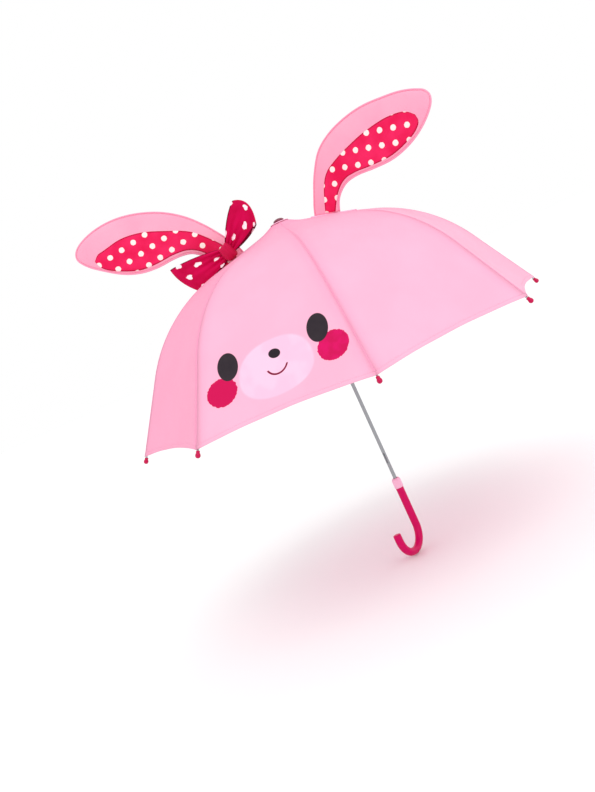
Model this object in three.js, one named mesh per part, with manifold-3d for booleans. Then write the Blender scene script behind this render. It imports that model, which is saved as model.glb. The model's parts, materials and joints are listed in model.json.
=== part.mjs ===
// Children's umbrella with rabbit ears: a straight stick umbrella with eight curved ribs, eight stretchers,
// a sliding runner, a J handle, eight canopy panels, two wired fabric ears and a bow.
// Millimetres. +Z runs up the shaft, the face panel looks towards -Y, and the origin is the hand grip's centre.
// The umbrella is modelled open.
import * as THREE from 'three';
import { mergeVertices } from 'three/addons/utils/BufferGeometryUtils.js';
import Module from 'manifold-3d';

const wasm = await Module();
wasm.setup();

// ---- driving dimensions ----
const RIB_COUNT = 8;
const RIB_STEP = 2 * Math.PI / RIB_COUNT;
const FIRST_RIB_TURN = -RIB_STEP / 2;   // from straight ahead (-Y), seen from above, towards +X
const PIVOT_RADIUS = 8;                 // rib pivots and stretcher feet lie on this radius
const PIVOT_HEIGHT = 522;
const TIP_RADIUS = 365;
const TIP_HEIGHT = 265;
const RIB_TURNING = THREE.MathUtils.degToRad(43);  // how far the open rib's direction turns, end to end
const RIB_STRAIGHT = 133;               // length of the straight stretch at each end of the rib
const CLOSING_TURN = THREE.MathUtils.degToRad(53.3);
const RIB_WIDTH = 2.4;
const RIB_HEIGHT = 2.4;
const RIB_STEPS = 16;
const JOINT_ALONG = 200;                // stretcher joint, measured along the rib
const JOINT_DROP = 3.4;                 // the joint's pin below the rib's middle line
const STRETCHER_HEIGHT = 2.6;
const FORK_LENGTH = 11;
const FORK_WALL = 1;
const FORK_GAP = 0.4;
const SHAFT_RADIUS = 3.2;
const SHAFT_WALL = 0.6;
const SHAFT_FOOT = -6;
const SHAFT_TOP = 531.4;
const FIT = 0.35;                       // gap between touching pieces
const HANDLE_RADIUS = 6.8;
const HANDLE_TOP = 33;
const HANDLE_STRAIGHT = 71;
const CROOK_RADIUS = 34;
const CROOK_TIP_LENGTH = 12;
const HANDLE_TURN = THREE.MathUtils.degToRad(-106);  // the crook's direction about the shaft, from +X
const COLLAR_HEIGHT = 18;
const COLLAR_RADIUS = 7.9;
const CLOTH = 1;                        // canopy cloth's solid thickness
const CLOTH_ABOVE_RIB = 2.9;
const CROWN_LIFT = 4.6;                 // how much higher the cloth lies over the notch
const CROWN_REACH = 18;
const PANEL_START = -3;                 // along the rib, where the cloth begins
const HEM_CURVE = 9;                    // how far the hem rises between two ribs
const EAR_SEAM = 92;                    // the ear seam's middle, out from the shaft
const EAR_LEAN = THREE.MathUtils.degToRad(16);      // the ears lean forwards from their seams
const EAR_CLOTH = 3.6;
const BOW_FORWARD = 36;                 // the bow lies this far in front of the ear's seam

// ---- rib curve: straight, bent along the middle, straight ----
const reach = TIP_RADIUS - PIVOT_RADIUS;
const drop = PIVOT_HEIGHT - TIP_HEIGHT;
const chord = Math.hypot(reach, drop);
const startSlope = Math.atan2(drop, reach) - RIB_TURNING / 2;
const bendRadius = (chord / 2 - RIB_STRAIGHT * Math.cos(RIB_TURNING / 2)) / Math.sin(RIB_TURNING / 2);
const bendLength = bendRadius * RIB_TURNING;
const RIB_LENGTH = 2 * RIB_STRAIGHT + bendLength;

// Point on the rib's middle line, or at a height above it, at a length along it; x is out, z is up.
function ribPoint(along, above = 0) {
  const first = Math.min(along, RIB_STRAIGHT);
  const bent = Math.min(Math.max(along - RIB_STRAIGHT, 0), bendLength);
  const last = Math.max(along - RIB_STRAIGHT - bendLength, 0);
  const slope = startSlope + bent / bendRadius;
  const out = PIVOT_RADIUS + first * Math.cos(startSlope)
    + bendRadius * (Math.sin(slope) - Math.sin(startSlope)) + last * Math.cos(slope);
  const up = PIVOT_HEIGHT - first * Math.sin(startSlope)
    - bendRadius * (Math.cos(startSlope) - Math.cos(slope)) - last * Math.sin(slope);
  return { x: out + above * Math.sin(slope), z: up + above * Math.cos(slope), slope };
}

// ---- stretcher: as long as the pivot-to-joint distance, so its foot stays on the pivot radius ----
const joint = ribPoint(JOINT_ALONG, -JOINT_DROP);
const stretcherLength = Math.hypot(joint.x - PIVOT_RADIUS, PIVOT_HEIGHT - joint.z);
const stretcherRise = Math.atan2(PIVOT_HEIGHT - joint.z, joint.x - PIVOT_RADIUS);
const footHeight = PIVOT_HEIGHT - 2 * (PIVOT_HEIGHT - joint.z);
const runnerTravel = 2 * stretcherLength * (Math.sin(stretcherRise + CLOSING_TURN) - Math.sin(stretcherRise));

// ---- mesh helpers ----
// One closed indexed mesh: shared corners merged, empty triangles dropped, faces turned outwards.
function closed(source) {
  let geometry = source.clone();
  geometry.deleteAttribute('normal');
  geometry.deleteAttribute('uv');
  geometry = mergeVertices(geometry, 1e-4);
  const at = geometry.getAttribute('position');
  const index = geometry.getIndex().array;
  const kept = [];
  let volume = 0;
  const corners = [new THREE.Vector3(), new THREE.Vector3(), new THREE.Vector3()];
  for (let i = 0; i < index.length; i += 3) {
    const [a, b, c] = [index[i], index[i + 1], index[i + 2]];
    if (a === b || b === c || c === a) continue;
    kept.push(a, b, c);
    [a, b, c].forEach((vertex, n) => corners[n].fromBufferAttribute(at, vertex));
    volume += corners[0].dot(corners[1].clone().cross(corners[2]));
  }
  if (volume < 0) kept.reverse();
  geometry.setIndex(kept);
  return geometry;
}

function toManifold(geometry) {
  const mesh = closed(geometry);
  return new wasm.Manifold(new wasm.Mesh({
    numProp: 3,
    vertProperties: new Float32Array(mesh.getAttribute('position').array),
    triVerts: new Uint32Array(mesh.getIndex().array),
  }));
}

function fromManifold(solid) {
  const mesh = solid.getMesh();
  const geometry = new THREE.BufferGeometry();
  geometry.setAttribute('position', new THREE.BufferAttribute(mesh.vertProperties, 3));
  geometry.setIndex(new THREE.BufferAttribute(mesh.triVerts, 1));
  return geometry;
}

function join(parts) {
  return fromManifold(parts.map(toManifold).reduce((whole, part) => whole.add(part)));
}

function cut(body, tools) {
  return fromManifold(tools.map(toManifold).reduce((whole, tool) => whole.subtract(tool), toManifold(body)));
}

// Flat outline in the out-and-up plane, thickened equally to both sides of it.
function plate(shape, thickness, curveSegments = 8) {
  const geometry = new THREE.ExtrudeGeometry(shape, { depth: thickness, bevelEnabled: false, curveSegments });
  return geometry.translate(0, 0, -thickness / 2).rotateX(Math.PI / 2);
}

// Cylinder across the out-and-up plane.
function crossPin(radius, length, x, z, sides = 12) {
  return new THREE.CylinderGeometry(radius, radius, length, sides).translate(x, 0, z);
}

// Profile of [radius, height] pairs turned about the shaft's line.
function turned(profile, sides = 24) {
  const points = profile.map(([radius, height]) => new THREE.Vector2(radius, height));
  return closed(new THREE.LatheGeometry(points, sides).rotateX(Math.PI / 2));
}

function ring(inner, outer, bottom, top, sides = 24) {
  return turned([[inner, bottom], [outer, bottom], [outer, top], [inner, top], [inner, bottom]], sides);
}

function box(x, y, z, centreX, centreY, centreZ) {
  return new THREE.BoxGeometry(x, y, z).translate(centreX, centreY, centreZ);
}

function tube(curve, radius, steps, sides = 8) {
  const section = new THREE.Shape().absarc(0, 0, radius, 0, 2 * Math.PI);
  const options = { steps, extrudePath: curve, bevelEnabled: false, curveSegments: sides };
  return new THREE.ExtrudeGeometry(section, options);
}

// Closed shell between an upper and a lower grid of points, each grid[row][column].
function sheetSolid(upper, lower) {
  const rows = upper.length;
  const columns = upper[0].length;
  const points = [...upper.flat(), ...lower.flat()];
  const under = rows * columns;
  const faces = [];
  const quad = (a, b, c, d) => faces.push(a, b, c, a, c, d);
  for (let i = 0; i < rows - 1; i += 1) {
    for (let j = 0; j < columns - 1; j += 1) {
      const a = i * columns + j;
      quad(a, a + columns, a + columns + 1, a + 1);
      quad(under + a, under + a + 1, under + a + columns + 1, under + a + columns);
    }
  }
  const rim = [];
  for (let j = 0; j < columns - 1; j += 1) rim.push(j);
  for (let i = 0; i < rows - 1; i += 1) rim.push(i * columns + columns - 1);
  for (let j = columns - 1; j > 0; j -= 1) rim.push((rows - 1) * columns + j);
  for (let i = rows - 1; i > 0; i -= 1) rim.push(i * columns);
  rim.forEach((a, n) => {
    const b = rim[(n + 1) % rim.length];
    quad(a, b, under + b, under + a);
  });
  const geometry = new THREE.BufferGeometry();
  geometry.setAttribute('position', new THREE.Float32BufferAttribute(points.flat(), 3));
  geometry.setIndex(faces);
  return closed(geometry);
}

// ---- materials ----
function finish(color, roughness, metalness = 0) {
  return new THREE.MeshStandardMaterial({ color, roughness, metalness });
}

const steel = () => finish('#c9ccd1', 0.28, 0.9);
const darkSteel = () => finish('#8f949b', 0.35, 0.85);
const pinkCloth = () => finish('#fdb4d4', 0.8);
const dottedCloth = () => finish('#f0386f', 0.75);
const crimsonCloth = () => finish('#d2125e', 0.75);
const crimsonPlastic = () => finish('#d4005c', 0.2);
const palePlastic = () => finish('#fbc3da', 0.35);
const darkPlastic = () => finish('#6d1233', 0.35);
const whitePlastic = () => finish('#f1eeee', 0.45);

// ---- assembly ----
const umbrella = new THREE.Group();

function place(name, geometry, material, group = umbrella) {
  const mesh = new THREE.Mesh(closed(geometry), material);
  mesh.name = name;
  group.add(mesh);
}

// Group whose +X points along the direction at that turn from straight ahead.
function facing(turn) {
  const group = new THREE.Group();
  group.rotation.z = turn - Math.PI / 2;
  umbrella.add(group);
  return group;
}

// ---- shaft and what is fixed to it ----
const RUNNER_LENGTH = 42;
const CROWN_HEIGHT = 9;
const RUNNER_BOTTOM = footHeight - CROWN_HEIGHT / 2 - RUNNER_LENGTH;
const CATCH_LENGTH = 16;
const CATCH_THICKNESS = 1.2;
const CATCH_PROUD = 2.6;
const upperCatchTop = RUNNER_BOTTOM - 1;
const lowerCatchTop = RUNNER_BOTTOM - runnerTravel - 1;

function shaftTube() {
  const inner = SHAFT_RADIUS - SHAFT_WALL;
  const slots = [upperCatchTop, lowerCatchTop].map((top) => (
    box(SHAFT_RADIUS * 2, CATCH_THICKNESS + 2 * FIT, CATCH_LENGTH + 2, SHAFT_RADIUS, 0, top - CATCH_LENGTH / 2)
      .rotateZ(-Math.PI / 2)
  ));
  return cut(ring(inner, SHAFT_RADIUS, SHAFT_FOOT, SHAFT_TOP), slots);
}

// Flat spring tooth: square on top, where the runner rests, and sloping back into the shaft below.
function springCatch(top) {
  const shape = new THREE.Shape();
  shape.moveTo(1, top);
  shape.lineTo(SHAFT_RADIUS + CATCH_PROUD, top);
  shape.lineTo(SHAFT_RADIUS + CATCH_PROUD, top - 3);
  shape.lineTo(SHAFT_RADIUS - SHAFT_WALL, top - CATCH_LENGTH);
  shape.lineTo(1, top - CATCH_LENGTH);
  return plate(shape, CATCH_THICKNESS).rotateZ(-Math.PI / 2);
}

function handle() {
  const bottom = HANDLE_TOP - HANDLE_STRAIGHT;
  const route = new THREE.CurvePath();
  route.add(new THREE.LineCurve3(new THREE.Vector3(0, 0, HANDLE_TOP), new THREE.Vector3(0, 0, bottom)));
  const crook = new THREE.CatmullRomCurve3(Array.from({ length: 17 }, (_, i) => {
    const angle = Math.PI * i / 16;
    return new THREE.Vector3(
      CROOK_RADIUS * (1 - Math.cos(angle)), 0, bottom - CROOK_RADIUS * Math.sin(angle));
  }));
  route.add(crook);
  const end = new THREE.Vector3(2 * CROOK_RADIUS, 0, bottom);
  route.add(new THREE.LineCurve3(end, new THREE.Vector3(2 * CROOK_RADIUS, 0, bottom + CROOK_TIP_LENGTH)));
  const bar = tube(route, HANDLE_RADIUS, 36, 7);
  const bore = new THREE.CylinderGeometry(SHAFT_RADIUS + FIT, SHAFT_RADIUS + FIT, 2 * (HANDLE_TOP - SHAFT_FOOT), 24)
    .rotateX(Math.PI / 2).translate(0, 0, HANDLE_TOP);
  return cut(bar, [bore.translate(0, 0, -1)]).rotateZ(HANDLE_TURN);
}

function collar() {
  const bottom = HANDLE_TOP + FIT;
  const top = bottom + COLLAR_HEIGHT;
  const inner = SHAFT_RADIUS + FIT;
  return turned([
    [inner, bottom], [COLLAR_RADIUS, bottom], [COLLAR_RADIUS, top - 4], [COLLAR_RADIUS - 1.2, top - 1.2],
    [COLLAR_RADIUS - 2.4, top], [inner, top], [inner, bottom],
  ]);
}

const NOTCH_BOTTOM = PIVOT_HEIGHT - 4;
const NOTCH_TOP = PIVOT_HEIGHT + 4;
const NOTCH_RADIUS = 11.4;
const WIRE_RADIUS = 0.5;

function radialSlots(width, from, to, bottom, top) {
  return Array.from({ length: RIB_COUNT }, (_, k) => (
    box(to - from, width, top - bottom, (from + to) / 2, 0, (bottom + top) / 2)
      .rotateZ(FIRST_RIB_TURN + k * RIB_STEP - Math.PI / 2)
  ));
}

// Toothed disc that holds the rib eyes on a ring of wire.
function notch() {
  const disc = ring(SHAFT_RADIUS + FIT, NOTCH_RADIUS, NOTCH_BOTTOM, NOTCH_TOP, 32);
  const groove = new THREE.TorusGeometry(PIVOT_RADIUS, WIRE_RADIUS + FIT, 8, 32).translate(0, 0, PIVOT_HEIGHT);
  const slots = radialSlots(RIB_WIDTH + 0.8, PIVOT_RADIUS - 2.3, NOTCH_RADIUS + 2, NOTCH_BOTTOM - 1, NOTCH_TOP + 1);
  return cut(disc, [groove, ...slots]);
}

function notchWire() {
  return new THREE.TorusGeometry(PIVOT_RADIUS, WIRE_RADIUS, 6, 32).translate(0, 0, PIVOT_HEIGHT);
}

// Low domed cap pressed onto the shaft's top, above the cloth.
function topCap() {
  const bottom = NOTCH_TOP + 4.6;
  const bore = SHAFT_RADIUS + FIT;
  return turned([
    [0, SHAFT_TOP + 0.5], [bore, SHAFT_TOP + 0.5], [bore, bottom], [9.4, bottom], [9.2, bottom + 1.8],
    [7.6, bottom + 3.4], [5, bottom + 4.6], [2.4, bottom + 5.2], [0, bottom + 5.4],
  ]);
}

// Sleeve with a toothed crown. The stretcher feet lie in the crown's slots, and a keyway clears the two catches,
// so the crown has no tooth over the keyway.
function runner() {
  const bore = SHAFT_RADIUS + FIT;
  const sleeveRadius = 6.1;
  const crownBottom = footHeight - CROWN_HEIGHT / 2;
  const crownTop = crownBottom + CROWN_HEIGHT;
  const body = turned([
    [bore, RUNNER_BOTTOM], [8.8, RUNNER_BOTTOM], [8.8, RUNNER_BOTTOM + 3], [sleeveRadius, RUNNER_BOTTOM + 5],
    [sleeveRadius, crownBottom], [NOTCH_RADIUS, crownBottom], [NOTCH_RADIUS, crownTop], [bore, crownTop],
    [bore, RUNNER_BOTTOM],
  ], 32);
  const keyway = box(8, CATCH_THICKNESS + 1.2, RUNNER_LENGTH + CROWN_HEIGHT + 2, 6, 0, (RUNNER_BOTTOM + crownTop) / 2)
    .rotateZ(-Math.PI / 2);
  const noTooth = box(8, 6, CROWN_HEIGHT + 2, sleeveRadius + 4, 0, (crownBottom + crownTop) / 2).rotateZ(-Math.PI / 2);
  const slots = radialSlots(RIB_WIDTH + 0.8, sleeveRadius, NOTCH_RADIUS + 2, crownBottom - 1, crownTop + 1);
  return cut(body, [keyway, noTooth, ...slots]);
}

place('shaft_tube', shaftTube(), steel());
place('upper_catch', springCatch(upperCatchTop), darkSteel());
place('lower_catch', springCatch(lowerCatchTop), darkSteel());
place('handle', handle(), crimsonPlastic());
place('handle_collar', collar(), palePlastic());
place('top_notch', notch(), whitePlastic());
place('notch_wire', notchWire(), darkSteel());
place('top_cap', topCap(), darkPlastic());
place('runner', runner(), whitePlastic());

// ---- ribs, stretchers and rib tips ----
function rib() {
  const half = RIB_HEIGHT / 2;
  const upper = [];
  const lower = [];
  for (let i = 0; i <= RIB_STEPS; i += 1) {
    const along = (RIB_LENGTH + 4) * i / RIB_STEPS;
    const over = ribPoint(along, half);
    const under = ribPoint(along, -half);
    upper.push(new THREE.Vector2(over.x, over.z));
    lower.unshift(new THREE.Vector2(under.x, under.z));
  }
  const bar = plate(new THREE.Shape([...upper, ...lower]), RIB_WIDTH);
  const eye = crossPin(1.9, RIB_WIDTH, PIVOT_RADIUS, PIVOT_HEIGHT, 16);
  const lug = crossPin(2.5, RIB_WIDTH, joint.x, joint.z, 16);
  const holes = [
    crossPin(WIRE_RADIUS + 0.45, RIB_WIDTH + 2, PIVOT_RADIUS, PIVOT_HEIGHT),
    crossPin(0.7 + FIT, RIB_WIDTH + 2, joint.x, joint.z),
  ];
  return cut(join([bar, eye, lug]), holes);
}

// Thin bar with a flat foot, and a fork with its pin at the rib's lug.
function stretcher() {
  const half = STRETCHER_HEIGHT / 2;
  const innerWidth = RIB_WIDTH + 2 * FORK_GAP;
  const outerWidth = innerWidth + 2 * FORK_WALL;
  const forkStart = stretcherLength - FORK_LENGTH;
  const bar = box(forkStart + 2, RIB_WIDTH, STRETCHER_HEIGHT, (forkStart + 2) / 2, 0, 0);
  const foot = crossPin(1.55, RIB_WIDTH, 0, 0, 16);
  const block = box(FORK_LENGTH, outerWidth, STRETCHER_HEIGHT, forkStart + FORK_LENGTH / 2, 0, 0);
  const cheek = crossPin(half, outerWidth, stretcherLength, 0, 16);
  const gap = box(FORK_LENGTH, innerWidth, STRETCHER_HEIGHT + 2, forkStart + 3 + FORK_LENGTH / 2, 0, 0);
  const forked = cut(join([bar, foot, block, cheek]), [gap]);
  const pinned = join([forked, crossPin(0.7, outerWidth - 0.2, stretcherLength, 0)]);
  return pinned.rotateY(-stretcherRise).translate(PIVOT_RADIUS, 0, footHeight);
}

// Hollow drop that caps the rib's end and holds the canopy's corner.
function ribTip() {
  const end = ribPoint(RIB_LENGTH);
  const drop = turned([
    [0, 4.6], [2.2, 4.6], [2.2, 0], [3.4, 0], [3.85, 2.6], [3.6, 5.6], [2.6, 8.6], [1.1, 10.3], [0, 10.6],
  ], 16);
  return drop.rotateY(Math.PI / 2 + end.slope).translate(end.x, 0, end.z);
}

const ribGeometry = rib();
const stretcherGeometry = stretcher();
const tipGeometry = ribTip();
for (let k = 0; k < RIB_COUNT; k += 1) {
  const group = facing(FIRST_RIB_TURN + k * RIB_STEP);
  place(`rib_${k + 1}`, ribGeometry, steel(), group);
  place(`stretcher_${k + 1}`, stretcherGeometry, darkSteel(), group);
  place(`rib_tip_${k + 1}`, tipGeometry, crimsonPlastic(), group);
}

// ---- canopy: one panel between each two ribs, straight across, curved along the ribs ----
// Point of the cloth at a share of its length, and across from -1 at one rib to 1 at the next.
function clothPoint(share, across, above) {
  const hem = RIB_LENGTH - 1 - HEM_CURVE * (1 - across * across);
  const along = PANEL_START + share * (hem - PANEL_START);
  const lift = CLOTH_ABOVE_RIB + CROWN_LIFT * Math.exp(-((along / CROWN_REACH) ** 2)) + above;
  const at = ribPoint(along, lift);
  const half = at.x * Math.sin(RIB_STEP / 2) - FIT / 2;
  return [at.x * Math.cos(RIB_STEP / 2), across * half, at.z];
}

function canopyPanel() {
  const shares = [0, 0.03, 0.06, 0.1, 0.2, 0.28, 0.34, 0.4, 0.46, 0.52, 0.58, 0.64, 0.7, 0.8, 0.9, 1];
  const acrosses = [-1, -0.5, 0, 0.5, 1];
  const grid = (above) => shares.map((share) => acrosses.map((across) => clothPoint(share, across, above)));
  return sheetSolid(grid(CLOTH / 2), grid(-CLOTH / 2));
}

const panelGeometry = canopyPanel();
for (let k = 0; k < RIB_COUNT; k += 1) {
  place(`canopy_panel_${k + 1}`, panelGeometry, pinkCloth(), facing(k * RIB_STEP));
}

// ---- ears: flat wired cloth shapes that stand in the shaft's plane and bend outwards ----
// Outlines are [out from the shaft, up] in the ear's own plane, from the seam over the top and back. The two
// ears are cut alike, and their wires are bent a little differently.
const RIGHT_EAR = {
  outline: [
    [56, 515.5], [71, 545], [85, 570], [111, 602], [140, 618], [175, 627], [213, 630], [251, 626], [283, 620],
    [307, 611], [321, 602], [325, 590], [317, 576], [294, 557], [265, 543], [229, 535], [192, 536], [160, 539],
    [136, 536], [116, 523], [104, 504.5],
  ],
  lining: [
    [80, 509.5], [91, 536], [99, 551], [114, 567], [137, 577], [169, 586], [206, 593], [250, 595], [280, 588],
    [294, 572], [284, 558], [261, 548], [229, 541], [192, 542], [160, 545], [137, 543], [118, 531], [106, 517], [98, 504.5],
  ],
};
const LEFT_EAR = {
  outline: [
    [78, 509.5], [88, 532], [103, 555], [122, 581], [147, 607], [182, 630], [228, 646], [268, 650], [307, 644],
    [334, 631], [343, 617], [335, 600], [308, 577], [280, 559], [252, 549], [222, 546], [188, 548], [161, 544],
    [142, 529], [131, 514], [121, 498],
  ],
  lining: [
    [94, 509], [105, 533], [121, 553], [147, 578], [184, 596], [225, 611], [260, 615], [290, 610], [311, 604.5],
    [316, 596], [310, 585], [303, 578], [280, 565], [251, 554.5], [220, 553], [190, 555], [161, 551], [139, 535],
    [119, 498.5],
  ],
};
const WIRE = 1.1;

function outlineCurve(points) {
  return new THREE.CatmullRomCurve3(points.map(([x, z]) => new THREE.Vector3(x, 0, z)), false, 'centripetal');
}

function outlineShape(points, samples, inset = 0) {
  const curve = outlineCurve(points);
  return new THREE.Shape(Array.from({ length: samples + 1 }, (_, i) => {
    const at = curve.getPointAt(i / samples);
    const along = curve.getTangentAt(i / samples);
    return new THREE.Vector2(at.x + inset * along.z, at.z - inset * along.x);
  }));
}

// side is 1 for the ear at +X and -1 for the ear at -X; the ear's plane turns about its seam to lean forwards.
function leanForward(geometry, side) {
  const turnedShape = geometry.translate(-EAR_SEAM, 0, 0).rotateZ(-EAR_LEAN).translate(EAR_SEAM, 0, 0);
  return side > 0 ? turnedShape : closed(turnedShape.scale(-1, 1, 1));
}

function earCloth(ear, side) {
  return leanForward(plate(outlineShape(ear.outline, 48, WIRE + 3 * FIT), EAR_CLOTH), side);
}

function earLining(ear, side) {
  const lining = plate(outlineShape(ear.lining, 40), CLOTH).translate(0, -(EAR_CLOTH + CLOTH) / 2 - FIT, 0);
  return leanForward(lining, side);
}

function earWire(ear, side) {
  return leanForward(tube(outlineCurve(ear.outline), WIRE, 44, 3), side);
}

// Tape stitched along the ear's seam, just over the cloth.
function earTape(side) {
  const from = 0.12;
  const to = 0.3;
  const grid = (above) => [0, 0.5, 1].map((n) => (
    [-7, 7].map((y) => {
      const [x, , z] = clothPoint(from + n * (to - from), 0, above);
      return [x, y, z];
    })
  ));
  const tape = sheetSolid(grid(1.5), grid(0.9));
  return side > 0 ? tape : closed(tape.scale(-1, 1, 1));
}

for (const [side, label, ear] of [[1, 'right', RIGHT_EAR], [-1, 'left', LEFT_EAR]]) {
  place(`${label}_ear`, earCloth(ear, side), pinkCloth());
  place(`${label}_ear_lining`, earLining(ear, side), dottedCloth());
  place(`${label}_ear_wire`, earWire(ear, side), steel());
  place(`${label}_ear_tape`, earTape(side), pinkCloth());
}

// ---- bow in front of the left ear's seam ----
const BOW_HEIGHT = 519;
const BOW_OUT = -90;
const KNOT_RADIUS = 14.5;
const BOW_THICKNESS = 18;

// Loop that widens from the knot; angle is its direction from straight out to +X.
function bowLoop(length, endWidth, angle) {
  const near = KNOT_RADIUS + FIT;
  const shape = new THREE.Shape();
  shape.moveTo(near, -9);
  shape.quadraticCurveTo(length * 0.5, -endWidth * 0.34, length * 0.86, -endWidth / 2);
  shape.quadraticCurveTo(length * 1.04, -endWidth * 0.45, length, 0);
  shape.quadraticCurveTo(length * 1.04, endWidth * 0.45, length * 0.86, endWidth / 2);
  shape.quadraticCurveTo(length * 0.5, endWidth * 0.34, near, 9);
  return plate(shape, BOW_THICKNESS, 5).rotateY(-angle).translate(BOW_OUT, -BOW_FORWARD, BOW_HEIGHT);
}

function bowKnot() {
  const shape = new THREE.Shape().absarc(0, 0, KNOT_RADIUS, 0, 2 * Math.PI);
  return plate(shape, BOW_THICKNESS + 4, 8).translate(BOW_OUT, -BOW_FORWARD, BOW_HEIGHT);
}

place('bow_knot', bowKnot(), crimsonCloth());
place('bow_upper_loop', bowLoop(80, 54, THREE.MathUtils.degToRad(40)), crimsonCloth());
place('bow_lower_loop', bowLoop(100, 60, THREE.MathUtils.degToRad(187)), crimsonCloth());

// ---- closing strap, stitched along the back rib's seam and snapped to itself ----
const STRAP_WIDTH = 18;
const STRAP_RIB = 4;
const STRAP_FROM = 265;
const STRAP_TO = 425;

function strap() {
  const grid = (above) => Array.from({ length: 9 }, (_, i) => {
    const at = ribPoint(STRAP_FROM + (STRAP_TO - STRAP_FROM) * i / 8, CLOTH_ABOVE_RIB + 1.1 + above);
    return [-STRAP_WIDTH / 2, STRAP_WIDTH / 2].map((y) => [at.x, y, at.z]);
  });
  return sheetSolid(grid(1.4), grid(0));
}

// Press stud half: a low domed disc on the strap's face.
function stud(along, height) {
  const at = ribPoint(along, CLOTH_ABOVE_RIB + 2.9);
  const disc = turned([[0, 0], [4.6, 0], [4.6, height * 0.6], [3.2, height], [0, height]], 16);
  return disc.rotateY(at.slope).translate(at.x, 0, at.z);
}

const strapGroup = facing(FIRST_RIB_TURN + STRAP_RIB * RIB_STEP);
place('closing_strap', strap(), pinkCloth(), strapGroup);
place('strap_stud', stud(STRAP_TO - 12, 2), crimsonPlastic(), strapGroup);
place('strap_socket', stud(STRAP_FROM + 12, 1.4), crimsonPlastic(), strapGroup);

export default umbrella;
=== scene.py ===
import json
import math

import bmesh
import bpy
import numpy as np
from mathutils import Matrix, Vector
from mathutils.bvhtree import BVHTree

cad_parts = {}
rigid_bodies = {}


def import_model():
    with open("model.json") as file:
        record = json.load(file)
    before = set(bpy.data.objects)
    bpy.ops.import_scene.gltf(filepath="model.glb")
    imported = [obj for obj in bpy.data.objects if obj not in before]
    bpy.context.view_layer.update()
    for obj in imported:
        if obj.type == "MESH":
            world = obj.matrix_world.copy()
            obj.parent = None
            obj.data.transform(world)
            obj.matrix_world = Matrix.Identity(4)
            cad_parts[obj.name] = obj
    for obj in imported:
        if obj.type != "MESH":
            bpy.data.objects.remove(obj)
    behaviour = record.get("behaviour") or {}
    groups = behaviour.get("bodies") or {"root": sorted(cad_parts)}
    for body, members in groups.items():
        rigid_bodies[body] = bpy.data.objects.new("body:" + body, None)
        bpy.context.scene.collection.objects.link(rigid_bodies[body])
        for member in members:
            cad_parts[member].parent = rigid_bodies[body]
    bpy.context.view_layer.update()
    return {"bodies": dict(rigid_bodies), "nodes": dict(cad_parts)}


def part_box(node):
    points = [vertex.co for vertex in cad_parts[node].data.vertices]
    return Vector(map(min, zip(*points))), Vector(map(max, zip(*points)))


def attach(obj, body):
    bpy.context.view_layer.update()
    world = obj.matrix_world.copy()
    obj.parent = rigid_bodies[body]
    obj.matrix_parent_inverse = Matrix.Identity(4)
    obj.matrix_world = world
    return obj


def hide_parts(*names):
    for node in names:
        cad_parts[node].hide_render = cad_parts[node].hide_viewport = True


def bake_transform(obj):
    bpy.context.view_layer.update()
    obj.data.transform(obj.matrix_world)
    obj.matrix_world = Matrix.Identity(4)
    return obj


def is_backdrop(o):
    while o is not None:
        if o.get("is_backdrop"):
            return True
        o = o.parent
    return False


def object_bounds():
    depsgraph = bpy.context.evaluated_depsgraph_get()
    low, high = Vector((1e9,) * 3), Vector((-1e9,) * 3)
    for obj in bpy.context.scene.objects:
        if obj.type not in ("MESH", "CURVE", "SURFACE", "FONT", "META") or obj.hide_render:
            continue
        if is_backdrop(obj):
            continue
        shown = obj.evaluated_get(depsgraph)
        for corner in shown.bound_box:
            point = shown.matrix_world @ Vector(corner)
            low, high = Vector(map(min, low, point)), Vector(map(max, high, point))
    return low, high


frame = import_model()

MM = 0.001

# ---- camera ----
CAMERA_TURN = math.radians(17.27)   # from straight ahead towards +X
CAMERA_RISE = math.radians(7.16)
CAMERA_ROLL = math.radians(24.42)   # the umbrella's top leans to the left of the picture
CAMERA_DISTANCE = 1.492
AIM_HEIGHT = 0.2015
LENS = 39.54
SHIFT = (-0.0785, 0.0048)


def make_camera():
    data = bpy.data.cameras.new("camera")
    data.lens = LENS
    data.shift_x, data.shift_y = SHIFT
    data.clip_start, data.clip_end = 0.05, 60
    camera = bpy.data.objects.new("camera", data)
    bpy.context.scene.collection.objects.link(camera)
    back = Vector((
        math.sin(CAMERA_TURN) * math.cos(CAMERA_RISE),
        -math.cos(CAMERA_TURN) * math.cos(CAMERA_RISE),
        math.sin(CAMERA_RISE),
    ))
    level_right = Vector((math.cos(CAMERA_TURN), math.sin(CAMERA_TURN), 0))
    level_up = back.cross(level_right)
    right = math.cos(CAMERA_ROLL) * level_right - math.sin(CAMERA_ROLL) * level_up
    up = math.sin(CAMERA_ROLL) * level_right + math.cos(CAMERA_ROLL) * level_up
    turned = Matrix((right, up, back)).transposed().to_4x4()
    place = Vector((0, 0, AIM_HEIGHT)) + CAMERA_DISTANCE * back
    camera.matrix_world = Matrix.Translation(place) @ turned
    bpy.context.scene.camera = camera


make_camera()

# ---- driving dimensions, as the frame has them ----
PANELS = 8
STEP = 2 * math.pi / PANELS
WIRE_RADIUS = 0.5 * MM
RIB_TURNING = math.radians(43)
RIB_STRAIGHT = 133 * MM
TIP_RADIUS = 365 * MM
TIP_HEIGHT = 265 * MM
PANEL_START = -3 * MM
HEM_CURVE = 9 * MM
CLOTH_ABOVE_RIB = 2.9 * MM
CROWN_LIFT = 4.6 * MM
CROWN_REACH = 18 * MM
CLOTH = 0.6 * MM
HEM_WIDTH = 7 * MM
HEM_EXTRA = 0.45 * MM
PANEL_SAG = 4.5 * MM

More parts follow.
